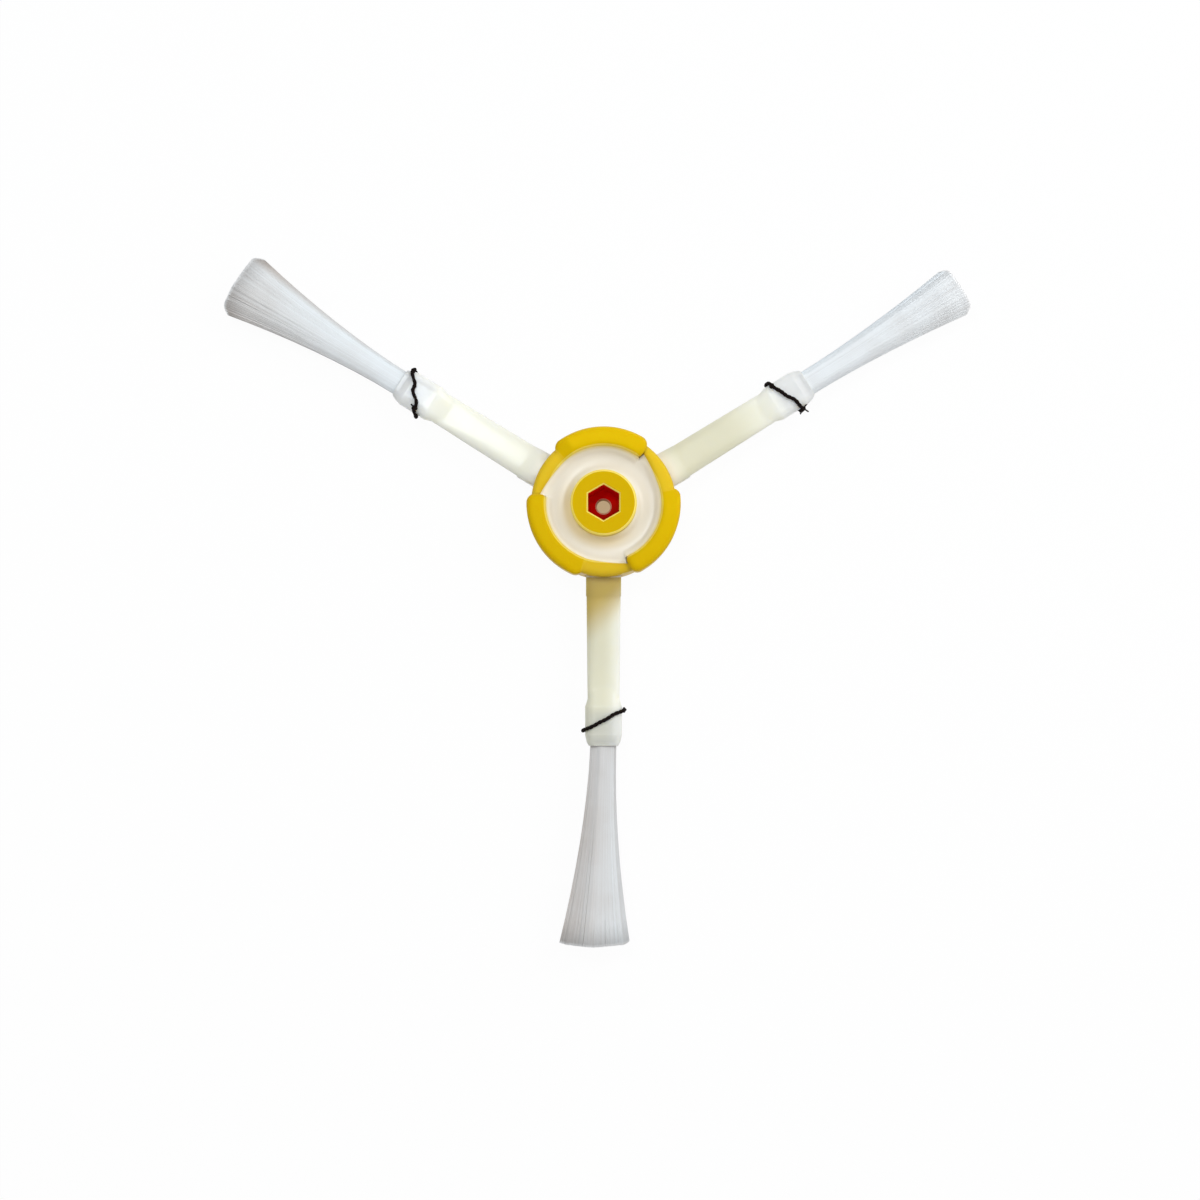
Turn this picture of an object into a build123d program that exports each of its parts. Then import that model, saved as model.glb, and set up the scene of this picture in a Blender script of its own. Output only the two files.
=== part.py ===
from build123d import *
import os
from math import cos, radians, sin, sqrt, tan

# A side brush of a robot vacuum: a rigid drive hub, a soft three-armed spider moulded into it,
# a bristle tuft set in the end of each arm and a thread tied round each arm end to hold its tuft.
# Sizes are in millimetres and degrees. Z is the drive axis and points at the robot.
# The origin is the middle of the socket floor.

# Arms round the axis
ARM_COUNT = 3
FIRST_ARM_ANGLE = 30.0

# Drive boss in the middle of the hub
BOSS_RADIUS = 7.05
BOSS_EDGE_CHAMFER = 0.4
SOCKET_ACROSS_FLATS = 6.6
SOCKET_DEPTH = 8.5
SOCKET_MOUTH_CHAMFER = 0.3
SCREW_HOLE_RADIUS = 1.5
SOCKET_FLOOR_THICKNESS = 2.4
SCREW_HEAD_RADIUS = 3.4
SCREW_HEAD_DEPTH = 2.6

# Outer wall of the hub: low saddles over the arms, raised lobes between them
BASE_THICKNESS = 3.4
BASE_EDGE_CHAMFER = 1.4
CHANNEL_WIDTH = 5.25
SADDLE_WALL = 3.15
SADDLE_DROP = 2.3
SADDLE_OUTER_CHAMFER = 0.6
SADDLE_INNER_CHAMFER = 0.3
LOBE_OVERHANG = 0.95
LOBE_DEPTH = 4.5
LOBE_DROP = 1.0
LOBE_EDGE_CHAMFER = 0.55
LOBE_LEAD_ANGLE = 22.0
LOBE_TRAIL_ANGLE = 17.0
LOBE_CORNER_RADIUS = 1.9
LOBE_NOSE_RADIUS = 1.0
LOBE_HEEL_RADIUS = 0.8
LOBE_RAMP_LENGTH = 3.4

# Recess in the channel's wall behind each saddle, which keys the soft web in the hub
RECESS_DEPTH = 1.45
RECESS_MIDDLE_DEPTH = 0.3
RECESS_MIDDLE_ANGLE = 4.0

# Soft web in the channel
WEB_DROP = 4.0
WEB_DISH = 0.45

# Soft arms
ROOT_WIDTH = 7.5
ROOT_HEIGHT = 4.0
ROOT_REACH = 3.9
ROOT_RAMP_INSET = 0.9
ROOT_RAMP_LENGTH = 2.4
ARM_LENGTH = 23.35
ARM_ROOT_WIDTH = 7.4
ARM_WAIST_WIDTH = 6.8
ARM_THICKNESS = 2.7
ARM_EDGE_RADIUS = 0.7
ARM_RISE = 1.8
ARM_DROOP = 1.5
# How far each soft arm has turned about its root since it was moulded
ARM_SETS = (2.0, -2.1, 0.0)

# Swollen arm ends, with the pocket for the tuft
FERRULE_RAMP_LENGTH = 4.2
FERRULE_RAMP_INSET = 1.4
FERRULE_SLEEVE_LENGTH = 6.1
FERRULE_SHOULDER_LENGTH = 1.4
FERRULE_SHOULDER_INSET = 0.3
FERRULE_NOSE_LENGTH = 0.9
FERRULE_NOSE_WALL = 0.3
FERRULE_WIDTH = 7.9
FERRULE_THICKNESS = 5.2
FERRULE_EDGE_RADIUS = 2.2
POCKET_DEPTH = 7.0

# Bristle tufts: a fused root, then locks of filaments that fan out to flat cut ends
TUFT_ROOT_WIDTH = 5.7
TUFT_ROOT_THICKNESS = 4.0
TUFT_ROOT_EDGE_RADIUS = 1.2
TUFT_ROOT_CLEARANCE = 0.04
TUFT_LENGTHS = (39.1, 41.4, 42.6)
TUFT_TIP_WIDTHS = (11.6, 15.0, 15.2)
TUFT_LEANS = (0.0, 0.0, -2.6)
# How far each bundle is rolled about its arm, from one corner of it straight up
TUFT_ROLLS = (24.0, -13.5, 9.5)
TUFT_FLARE_POWER = 1.8
TUFT_STATIONS = (0.0, 0.5, 1.0)
LOCK_RINGS = 3
LOCK_FILL = 0.86

# Retaining threads, tied by hand on a slant round the arm ends, each at its own place from the hub's wall
THREAD_PLACES = (30.4, 31.6, 30.5)
THREAD_SLANTS = (25.0, 34.0, 29.0)
THREAD_RADIUS = 0.45
THREAD_EDGE_CHAMFER = 0.25
THREAD_CLEARANCE = 0.04
KNOT_RADIUS = 0.7
KNOT_EDGE_CHAMFER = 0.2
KNOT_TAIL_LENGTH = 0.5
KNOT_TAIL_RADIUS = 0.25
KNOT_TAIL_SPREAD = 35.0

# Angles, radii, heights and lengths along an arm that follow from the sizes above
ARM_STEP = 360 / ARM_COUNT
HEXAGON_SIDES = 6
HEXAGON_TURN = 360 / HEXAGON_SIDES
CHANNEL_RADIUS = BOSS_RADIUS + CHANNEL_WIDTH
WALL_RADIUS = CHANNEL_RADIUS + SADDLE_WALL
LOBE_RADIUS = WALL_RADIUS + LOBE_OVERHANG
BOSS_TOP = SOCKET_DEPTH
HUB_BOTTOM = -(SOCKET_FLOOR_THICKNESS + SCREW_HEAD_DEPTH)
CHANNEL_FLOOR = HUB_BOTTOM + BASE_THICKNESS
SADDLE_TOP = BOSS_TOP - SADDLE_DROP
LOBE_TOP = BOSS_TOP - LOBE_DROP
LOBE_FOOT = LOBE_TOP - LOBE_DEPTH
WEB_TOP = BOSS_TOP - WEB_DROP
ROOT_MIDDLE = CHANNEL_FLOOR + ROOT_HEIGHT / 2
ARM_MIDDLE = CHANNEL_FLOOR + ARM_RISE
SLEEVE_START = ARM_LENGTH + FERRULE_RAMP_LENGTH
SLEEVE_END = SLEEVE_START + FERRULE_SLEEVE_LENGTH
SHOULDER_END = SLEEVE_END + FERRULE_SHOULDER_LENGTH
ARM_TIP = SHOULDER_END + FERRULE_NOSE_LENGTH

# Steps between hexagonal locks whose corners lie at a radius of 1
LOCK_COLUMN_STEP = 1.5
LOCK_ROW_STEP = sqrt(3)


def arm_angle(index):
    return FIRST_ARM_ANGLE + ARM_STEP * index


def polar(radius, angle):
    return (radius * cos(radians(angle)), radius * sin(radians(angle)))


def arm_frame(index):
    """Frame of one soft arm: at the hub's wall, X along the arm, turned by its set and droop."""
    pivot = Pos(WALL_RADIUS, 0, ARM_MIDDLE)
    return Rot(Z=arm_angle(index)) * pivot * Rot(Z=ARM_SETS[index]) * Rot(Y=ARM_DROOP)


def cross_section(distance, width, thickness, edge_radius):
    """Rounded section across an arm, at a distance from the hub's wall."""
    plane = Plane(origin=(distance, 0, 0), x_dir=(0, 1, 0), z_dir=(1, 0, 0))
    return plane * RectangleRounded(width, thickness, edge_radius)


def round_corner(plan, corner, radius):
    """Round the corner of a plan that lies nearest to a point."""
    return fillet(plan.vertices().sort_by_distance(Vector(*corner))[0], radius)


def channel_outline():
    """Plan of the channel: a circle with a recess behind each saddle, deepest at the next lobe's nose."""
    outline = Circle(CHANNEL_RADIUS)
    for index in range(ARM_COUNT):
        angle = arm_angle(index)
        start = polar(CHANNEL_RADIUS, angle - LOBE_TRAIL_ANGLE)
        middle = polar(CHANNEL_RADIUS + RECESS_MIDDLE_DEPTH, angle + RECESS_MIDDLE_ANGLE)
        end = polar(CHANNEL_RADIUS + RECESS_DEPTH, angle + LOBE_LEAD_ANGLE)
        outline += make_face([ThreePointArc(start, middle, end), Line(end, (0, 0)), Line((0, 0), start)])
    for index in range(ARM_COUNT):
        nose = polar(CHANNEL_RADIUS, arm_angle(index) + LOBE_LEAD_ANGLE)
        outline = round_corner(outline, nose, LOBE_NOSE_RADIUS)
    return outline


def lobe_ramp():
    """Wedge to cut from a lobe that ends on the X axis, so that its top runs down to the next saddle."""
    steepness = (LOBE_TOP - SADDLE_TOP) / LOBE_RAMP_LENGTH
    overshoot = LOBE_EDGE_CHAMFER
    side = make_face(Polyline((-LOBE_RAMP_LENGTH, LOBE_TOP), (overshoot, SADDLE_TOP - steepness * overshoot),
                              (overshoot, LOBE_TOP + overshoot), (-LOBE_RAMP_LENGTH, LOBE_TOP + overshoot),
                              close=True))
    across = Plane((BOSS_RADIUS, 0, 0), x_dir=(0, 1, 0), z_dir=(1, 0, 0))
    return extrude(across * side, LOBE_RADIUS + overshoot - BOSS_RADIUS)


def lobe(index):
    """One raised stretch of the wall, with a nose at this arm's saddle and a ramp down to the next one's."""
    start_angle = arm_angle(index) + LOBE_LEAD_ANGLE
    sweep_angle = ARM_STEP - LOBE_LEAD_ANGLE - LOBE_TRAIL_ANGLE
    rim = CenterArc((0, 0), LOBE_RADIUS, start_angle, sweep_angle)
    back = CenterArc((0, 0), CHANNEL_RADIUS, start_angle, sweep_angle)
    plan = make_face([rim, Line(rim @ 1, back @ 1), back, Line(back @ 0, rim @ 0)])
    for corner, radius in ((rim @ 0, LOBE_CORNER_RADIUS), (rim @ 1, LOBE_CORNER_RADIUS),
                           (back @ 0, LOBE_NOSE_RADIUS), (back @ 1, LOBE_HEEL_RADIUS)):
        plan = round_corner(plan, corner, radius)
    body = Pos(0, 0, LOBE_FOOT) * extrude(plan, LOBE_DEPTH)
    body = chamfer(body.edges().group_by(Axis.Z)[-1], LOBE_EDGE_CHAMFER)
    return body - Rot(Z=start_angle + sweep_angle) * lobe_ramp()


def root_block():
    """Block as wide and high as an arm's root, from inside the channel to outside the wall, along X."""
    inner = BOSS_RADIUS + CHANNEL_WIDTH / 2
    outer = WALL_RADIUS + ROOT_REACH
    return Pos((inner + outer) / 2, 0, ROOT_MIDDLE) * Box(outer - inner, ROOT_WIDTH, ROOT_HEIGHT)


def hub_wall():
    """Base and wall of the hub: the drum with its channel, the lobes and a window for each arm's root."""
    wall = Pos(0, 0, HUB_BOTTOM) * extrude(Circle(WALL_RADIUS), SADDLE_TOP - HUB_BOTTOM)
    wall = chamfer(wall.edges().sort_by(Axis.Z)[0], BASE_EDGE_CHAMFER)
    wall = chamfer(wall.edges().sort_by(Axis.Z)[-1], SADDLE_OUTER_CHAMFER)
    wall -= Pos(0, 0, CHANNEL_FLOOR) * extrude(channel_outline(), BOSS_TOP - CHANNEL_FLOOR)
    inner_rim = wall.faces().sort_by(Axis.Z)[-1].inner_wires()[0]
    wall = chamfer(inner_rim.edges(), SADDLE_INNER_CHAMFER)
    for index in range(ARM_COUNT):
        wall += lobe(index)
    for index in range(ARM_COUNT):
        wall -= Rot(Z=arm_angle(index)) * root_block()
    return wall


def boss():
    """Drive boss, standing on the base."""
    post = Pos(0, 0, CHANNEL_FLOOR) * extrude(Circle(BOSS_RADIUS), BOSS_TOP - CHANNEL_FLOOR)
    return chamfer(post.edges().sort_by(Axis.Z)[-1], BOSS_EDGE_CHAMFER)


def socket_section(offset):
    """Hexagon of the drive socket, with two flats square to X, let out by an offset all round."""
    return RegularPolygon(SOCKET_ACROSS_FLATS / 2 + offset, HEXAGON_SIDES, major_radius=False,
                          rotation=HEXAGON_TURN / 2)


def socket():
    """Hexagonal drive socket, opened out at its mouth."""
    hexagon = socket_section(0)
    mouth = socket_section(SOCKET_MOUTH_CHAMFER)
    lead_in = loft([Pos(0, 0, BOSS_TOP - SOCKET_MOUTH_CHAMFER) * hexagon, Pos(0, 0, BOSS_TOP) * mouth])
    return extrude(hexagon, SOCKET_DEPTH) + lead_in


def screw_hole():
    """Screw hole through the socket floor, and the recess for the screw's head on the floor side."""
    hole = Pos(0, 0, -SOCKET_FLOOR_THICKNESS) * extrude(Circle(SCREW_HOLE_RADIUS), SOCKET_FLOOR_THICKNESS)
    recess = Pos(0, 0, HUB_BOTTOM) * extrude(Circle(SCREW_HEAD_RADIUS), SCREW_HEAD_DEPTH)
    return hole + recess


def hub():
    """Rigid drive hub, moulded as one."""
    return hub_wall() + boss() - socket() - screw_hole()


def web():
    """Soft web that fills the hub's channel, its top dished between boss and wall."""
    plan = channel_outline() - Circle(BOSS_RADIUS)
    ring = Pos(0, 0, CHANNEL_FLOOR) * extrude(plan, WEB_TOP - CHANNEL_FLOOR)
    inner_rim = (BOSS_RADIUS, 0, WEB_TOP)
    outer_rim = (CHANNEL_RADIUS, 0, WEB_TOP)
    lowest = (BOSS_RADIUS + CHANNEL_WIDTH / 2, 0, WEB_TOP - WEB_DISH)
    dish = make_face([ThreePointArc(inner_rim, lowest, outer_rim), Line(outer_rim, inner_rim)])
    return ring - revolve(dish, Axis.Z)


def arm_root(index):
    """The part of an arm that fills its window in the wall and stands a little way out of it."""
    block = root_block()
    end = block.faces().sort_by(Axis.X)[-1]
    block = chamfer(end.edges().filter_by(Axis.Y), ROOT_RAMP_INSET, ROOT_RAMP_LENGTH, reference=end)
    return Rot(Z=arm_angle(index)) * block


def arm_strip():
    """Flat strip of an arm, from the hub's wall into the swollen end, with rounded long edges."""
    half_root = ARM_ROOT_WIDTH / 2
    half_waist = ARM_WAIST_WIDTH / 2
    plan = make_face(Polyline((0, -half_root), (SLEEVE_START, -half_waist), (SLEEVE_START, half_waist),
                              (0, half_root), close=True))
    slab = extrude(plan, ARM_THICKNESS / 2, both=True)
    long_edges = slab.edges() - slab.edges().filter_by(Axis.Y) - slab.edges().filter_by(Axis.Z)
    return fillet(long_edges, ARM_EDGE_RADIUS)


def arm_end_section(distance, inset):
    """Section of the swollen arm end, drawn in by an inset all round."""
    return cross_section(distance, FERRULE_WIDTH - 2 * inset, FERRULE_THICKNESS - 2 * inset,
                         FERRULE_EDGE_RADIUS - inset)


def tuft_root_section(offset):
    """Section of the tuft's root at the mouth of the arm end, let out by an offset all round."""
    return cross_section(ARM_TIP, TUFT_ROOT_WIDTH + 2 * offset, TUFT_ROOT_THICKNESS + 2 * offset,
                         TUFT_ROOT_EDGE_RADIUS + offset)


def arm_end():
    """Swollen end of an arm: a sleeve with a ramp up to it, and a shoulder down to its mouth."""
    sleeve = extrude(arm_end_section(ARM_LENGTH, 0), SLEEVE_END - ARM_LENGTH)
    back = sleeve.faces().sort_by(Axis.X)[0]
    sleeve = chamfer(back.edges(), FERRULE_RAMP_INSET, FERRULE_RAMP_LENGTH, reference=back)
    shoulder = loft([arm_end_section(SLEEVE_END, 0), arm_end_section(SHOULDER_END, FERRULE_SHOULDER_INSET),
                     tuft_root_section(FERRULE_NOSE_WALL)], ruled=True)
    return sleeve + shoulder


def pocket():
    """Pocket in the arm end for the tuft's fused root."""
    return extrude(tuft_root_section(0), -POCKET_DEPTH)


def soft_arm():
    """One arm outside the hub, in its own frame."""
    return arm_strip() + arm_end() - pocket()


def arm_spider():
    """The soft part, moulded as one: the web in the channel and the three arms."""
    spider = web()
    arm = soft_arm()
    for index in range(ARM_COUNT):
        spider += arm_root(index)
        spider += arm_frame(index) * arm
    return spider


def rolled(across, up, index):
    """A point of a bundle's section, rolled about its arm."""
    roll = radians(TUFT_ROLLS[index])
    return (across * cos(roll) - up * sin(roll), across * sin(roll) + up * cos(roll))


def lock_places():
    """Places of the locks in a bundle of hexagonal rings, with one corner of the bundle upwards."""
    places = []
    for column in range(-LOCK_RINGS, LOCK_RINGS + 1):
        for row in range(-LOCK_RINGS, LOCK_RINGS + 1):
            if abs(column + row) <= LOCK_RINGS:
                places.append((LOCK_COLUMN_STEP * column, LOCK_ROW_STEP * (row + column / 2)))
    return places


def flare(station, index):
    """How many times its root's size a tuft has at a share of its free length: it widens late."""
    return 1 + (TUFT_TIP_WIDTHS[index] / TUFT_ROOT_WIDTH - 1) * station ** TUFT_FLARE_POWER


def lock_section(place, size, index):
    """Corners of one lock across a rolled bundle, as pairs, with the lock's own corners at a radius."""
    corners = []
    for corner in range(HEXAGON_SIDES):
        across, up = polar(size, HEXAGON_TURN * corner)
        corners.append(rolled(place[0] + across, place[1] + up, index))
    return corners


def bundle_reach(index):
    """Half the width and half the height of a rolled bundle of locks whose corners lie at a radius of 1."""
    corners = [corner for place in lock_places() for corner in lock_section(place, 1, index)]
    return (max(across for across, up in corners), max(up for across, up in corners))


def lock_corners(place, station, index):
    """Corners of one lock of filaments, at a share of the tuft's free length."""
    reach_across, reach_up = bundle_reach(index)
    width_scale = flare(station, index) * (TUFT_ROOT_WIDTH / 2 - TUFT_ROOT_CLEARANCE) / reach_across
    height_scale = flare(station, index) * (TUFT_ROOT_THICKNESS / 2 - TUFT_ROOT_CLEARANCE) / reach_up
    distance = TUFT_LENGTHS[index] * station
    lean = distance * tan(radians(TUFT_LEANS[index]))
    return [(ARM_TIP + distance, lean + width_scale * across, height_scale * up)
            for across, up in lock_section(place, LOCK_FILL, index)]


def flat_face(corners):
    return Face(Wire.make_polygon(corners))


def lock(place, index):
    """One lock of filaments: flat sides from hexagon to hexagon along the tuft, and two flat ends."""
    rings = [lock_corners(place, station, index) for station in TUFT_STATIONS]
    faces = [flat_face(rings[0]), flat_face(rings[-1])]
    for near, far in zip(rings, rings[1:]):
        for corner in range(HEXAGON_SIDES):
            beside = (corner + 1) % HEXAGON_SIDES
            faces.append(flat_face([near[corner], near[beside], far[beside], far[corner]]))
    return Solid(Shell(faces))


def bristle_tuft(index):
    """One tuft, in its arm's frame: the fused root in the arm's pocket and the locks that grow from it."""
    root = extrude(tuft_root_section(-TUFT_ROOT_CLEARANCE), -POCKET_DEPTH)
    locks = [lock(place, index) for place in lock_places()]
    return root.solid().fuse(*locks, glue=True)


def thread_outline(slant, spread):
    """Loop round a slanted cut through the arm end, its corners cut off, let out by a spread all round."""
    side_gap = THREAD_CLEARANCE / cos(slant) + (THREAD_RADIUS - THREAD_EDGE_CHAMFER) * tan(slant)
    width = FERRULE_WIDTH / cos(slant) + 2 * (side_gap + spread)
    height = FERRULE_THICKNESS + 2 * (THREAD_CLEARANCE + spread)
    corner = (2 - sqrt(2)) * (FERRULE_EDGE_RADIUS + THREAD_CLEARANCE + spread)
    return chamfer(Rectangle(width, height).vertices(), corner)


def retaining_thread(index):
    """Thread tied on a slant round an arm end, its knot and tails at one side, in the arm's frame."""
    slant = radians(THREAD_SLANTS[index])
    plane = Plane((THREAD_PLACES[index], 0, 0), x_dir=(-sin(slant), cos(slant), 0),
                  z_dir=(cos(slant), sin(slant), 0))
    opening = thread_outline(slant, 0)
    loop = extrude(thread_outline(slant, 2 * THREAD_RADIUS) - opening, THREAD_RADIUS, both=True)
    thread = chamfer(loop.edges().filter_by(Axis.Z, reverse=True), THREAD_EDGE_CHAMFER)
    knot = extrude(RegularPolygon(KNOT_RADIUS, HEXAGON_SIDES), KNOT_RADIUS, both=True)
    knot_gap = (KNOT_RADIUS - KNOT_EDGE_CHAMFER) * tan(slant)
    knot_frame = Pos(opening.bounding_box().max.X + knot_gap + KNOT_RADIUS, 0, 0)
    thread += knot_frame * chamfer(knot.edges(), KNOT_EDGE_CHAMFER)
    for turn in (KNOT_TAIL_SPREAD, 180 - KNOT_TAIL_SPREAD):
        tail = extrude(RegularPolygon(KNOT_TAIL_RADIUS, HEXAGON_SIDES), KNOT_RADIUS + KNOT_TAIL_LENGTH)
        thread += knot_frame * Rot(Y=turn) * tail
    return plane * thread


os.makedirs("parts", exist_ok=True)
export_step(hub(), "parts/hub.step")
export_step(arm_spider(), "parts/arm_spider.step")
for arm in range(ARM_COUNT):
    export_step(arm_frame(arm) * bristle_tuft(arm), f"parts/bristle_tuft_{arm + 1}.step")
    export_step(arm_frame(arm) * retaining_thread(arm), f"parts/retaining_thread_{arm + 1}.step")
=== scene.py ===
from math import cos, pi, radians, sin, tan

import bpy
import numpy as np
from mathutils import Matrix, Vector


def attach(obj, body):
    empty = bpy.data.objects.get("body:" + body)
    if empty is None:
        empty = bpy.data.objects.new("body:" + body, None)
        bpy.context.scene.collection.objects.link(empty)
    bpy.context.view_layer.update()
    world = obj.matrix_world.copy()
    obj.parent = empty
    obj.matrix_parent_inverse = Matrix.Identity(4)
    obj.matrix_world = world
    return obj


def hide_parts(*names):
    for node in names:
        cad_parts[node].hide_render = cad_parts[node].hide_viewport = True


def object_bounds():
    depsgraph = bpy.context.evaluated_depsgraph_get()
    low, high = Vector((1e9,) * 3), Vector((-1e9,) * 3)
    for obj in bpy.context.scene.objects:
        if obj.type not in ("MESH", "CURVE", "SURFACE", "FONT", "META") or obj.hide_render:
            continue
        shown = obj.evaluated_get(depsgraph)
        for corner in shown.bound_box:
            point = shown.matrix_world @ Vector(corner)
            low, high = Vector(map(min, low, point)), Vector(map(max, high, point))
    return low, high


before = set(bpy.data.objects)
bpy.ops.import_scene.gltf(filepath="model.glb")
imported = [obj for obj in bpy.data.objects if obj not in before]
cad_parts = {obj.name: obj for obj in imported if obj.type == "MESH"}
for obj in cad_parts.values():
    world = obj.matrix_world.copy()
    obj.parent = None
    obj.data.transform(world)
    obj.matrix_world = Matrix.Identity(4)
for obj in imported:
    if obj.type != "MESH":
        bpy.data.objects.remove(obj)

# Sizes are in millimetres and degrees, as in the part's source, and MM takes them to metres.
MM = 0.001
TUFT_SEED = 7
THREAD_SEED = 17

# Camera: the image is 1200 pixels wide, and the camera looks down on the hub, a little from -Y
IMAGE_PIXELS = 1200
FOCAL_PIXELS = 2400
SENSOR_WIDTH = 36.0
CAMERA_TILT = 3.96
CAMERA_DISTANCE = 508.0
CAMERA_NEAR_LIMIT = 10.0
BOSS_PIXEL = (603.6, 502.2)

# Light: a white room that is brightest overhead, a soft key lamp at one side and a window above the other
WORLD_STRENGTH = 0.27
WORLD_SLOPE = 1.6
WORLD_BRIGHT_SIDE = (0.22, 0.10, 0.97)
KEY_POWER = 1.6
KEY_PLACE = (400.0, 190.0, 440.0)
KEY_SIZE = 450.0
WINDOW_POWER = 0.75
WINDOW_PLACE = (-100.0, 115.0, 500.0)
WINDOW_SIZE = (150.0, 100.0)
WINDOW_TURN = -32.0
WINDOW_COLOUR = (0.86, 0.94, 1.0)
FLOOR_REACH = 3000.0
FLOOR_GREYS = ((0.84, 0.84, 0.84, 1), (0.88, 0.88, 0.88, 1))
FLOOR_ROUGHNESS = 0.9
FLOOR_GLOW = 0.96
# Painted shade: the floor's glow is beige-brown under the hub, where the screw hole shows it
HOLE_PAINTED_SHADE_RADIUS = 6.0
HOLE_PAINTED_SHADE = (0.50, 0.36, 0.21, 1)

# Hub, as in the part's source
BOSS_TOP = 8.5
BOSS_RADIUS = 7.05
SCREW_HOLE_RADIUS = 1.5
CHANNEL_RADIUS = 12.3
WALL_RADIUS = 15.45
WEB_TOP = 4.5
WEB_DISH = 0.45
LOBE_LEAD_ANGLE = 22.0
LOBE_TRAIL_ANGLE = 17.0
RECESS_DEPTH = 1.45
RECESS_MIDDLE_DEPTH = 0.3
RECESS_MIDDLE_ANGLE = 4.0

# Smooth skin on the soft web, which creeps up the walls of the channel
SKIN_LIFT = 0.03
SKIN_OVERLAP = 0.05
SKIN_ANGLES = 360
SKIN_STEPS = 28
LIP_WIDTH = 1.6
LIP_RISE_AT_LOBES = 2.2
LIP_RISE_AT_SADDLES = 1.2
LIP_RISE_AT_BOSS = 1.2
LIP_TAPER_ANGLE = 14.0
LIP_NOSE_ANGLE = 1.5

# Arms, as in the part's source
ARM_ANGLES = (30.0, 150.0, 270.0)
ARM_STEP = 120.0
ARM_SETS = (2.0, -2.1, 0.0)
ARM_DROOP = 1.5
ARM_MIDDLE = 0.2
SLEEVE_END = 33.65
SHOULDER_END = 35.05
SHOULDER_INSET = 0.3
ARM_TIP = 35.95
TIP_INSET = 0.8
FERRULE_WIDTH = 7.9
FERRULE_THICKNESS = 5.2
FERRULE_EDGE_RADIUS = 2.2

# Tufts, as in the part's source
POCKET_DEPTH = 7.0
TUFT_ROOT_WIDTH = 5.7
TUFT_ROOT_THICKNESS = 4.0
TUFT_ROOT_CLEARANCE = 0.04
TUFT_LENGTHS = (39.1, 41.4, 42.6)
TUFT_TIP_WIDTHS = (11.6, 15.0, 15.2)
TUFT_LEANS = (0.0, 0.0, -2.6)
TUFT_ROLLS = (24.0, -13.5, 9.5)
TUFT_FLARE_POWER = 1.8

# Filaments round a core that stands for the ones deep inside the bundle, which is rounder than its locks
TUFT_ROOT_CORNER = 0.6
TUFT_ROUNDNESS = (0.6, 0.6, 0.2)
FILAMENT_RINGS = 12
FILAMENT_RADIUS = 0.06
FILAMENTS_PER_SIDE = 80
FILAMENT_SIDES = 4
FILAMENT_STATIONS = 9
FILAMENT_JITTER = 0.004
FILAMENT_WANDER = 0.03
FILAMENT_LENGTH_SPREAD = 0.12
FILAMENT_SINK = 1.0
BUNDLE_FILL = 0.97
CORE_FILL = 0.975
CORE_SETBACK = 0.35
CORE_STREAKS = 24
TIP_ROUNDING = (1.8, 1.8, 0.3)
TIP_ROUNDING_START = 0.72
TIP_ROUNDING_POWER = 2.5
TIP_RIDGE = (0.0, 0.0, 0.5)
TIP_SLANTS = (0.0, 0.0, 0.05)
# Grey of each tuft at its root and tip, painted shade that grows across the tuft, a greyer band of painted
# shade along one edge, a whiter one along the other as painted light, and how fast these come in along the
# tuft
GREY_ROOTS = (0.08, 0.03, 0.48)
GREY_TIPS = (0.22, 0.53, 0.40)
PAINTED_SHADE_ACROSS = (0.0, 0.26, -0.30)
PAINTED_SHADE_EDGES = (0.0, 0.75, 0.0)
PAINTED_SHADE_EDGE_START = 0.70
GREY_LIT_EDGES = (-0.4, 0.0, 0.0)
GREY_LIT_POWER = 3
GREY_TIP_POWER = 2
PAINTED_SHADE_POWER = 0.3
GREY_SPREAD = 0.05

# Threads: two strands twisted together, tied on a slant round the arm ends
THREAD_PLACES = (30.4, 32.2, 30.5)
THREAD_SLANTS = (25.0, 36.5, 29.0)
THREAD_WAVES = (0.10, 0.24, 0.10)
THREAD_WAVE_COUNTS = (3, 5, 7)
THREAD_WAVE_SPREAD = 0.6
THREAD_POINTS = 320
STRAND_RADIUS = 0.32
STRAND_TWIST_RADIUS = 0.12
STRAND_TURNS = 13
STRAND_SIDES = 8
TUBE_GUIDE = (1.0, 0.37, 0.21)
SECTION_STEP = 2.0
# Knots on each thread, as places across the arm, with the size of each and the turns of its loose tails
KNOTS = (((3.2, 0.64, ()), (-4.3, 0.60, (-150.0, -60.0, 20.0))),
         ((-3.5, 0.62, ()), (3.2, 0.70, (-20.0,))),
         ((4.6, 0.64, ()),))
KNOT_STRAND_RADIUS = 0.27
KNOT_POINTS = 60
KNOT_REACH = 3
KNOT_DEPTH = 1.4
TAIL_LENGTH = 1.3
TAIL_RADIUS = 0.16
TAIL_POINTS = 8
TAIL_SAG = 0.25

# Noise in the materials, in cells per metre
HUB_MOTTLE = 260.0
HUB_GRAIN = 2600.0
SOFT_MOTTLE = 420.0
SOFT_GRAIN = 1500.0
FILAMENT_CLOUD = 160.0
THREAD_FIBRE = 5200.0
FLOOR_SPECK = 40.0

# Share of the noise over which a surface goes from smoother to rougher, and samples of a rounded edge
MOTTLE_SPAN = (0.3, 0.7)
EDGE_SAMPLES = 8
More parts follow.
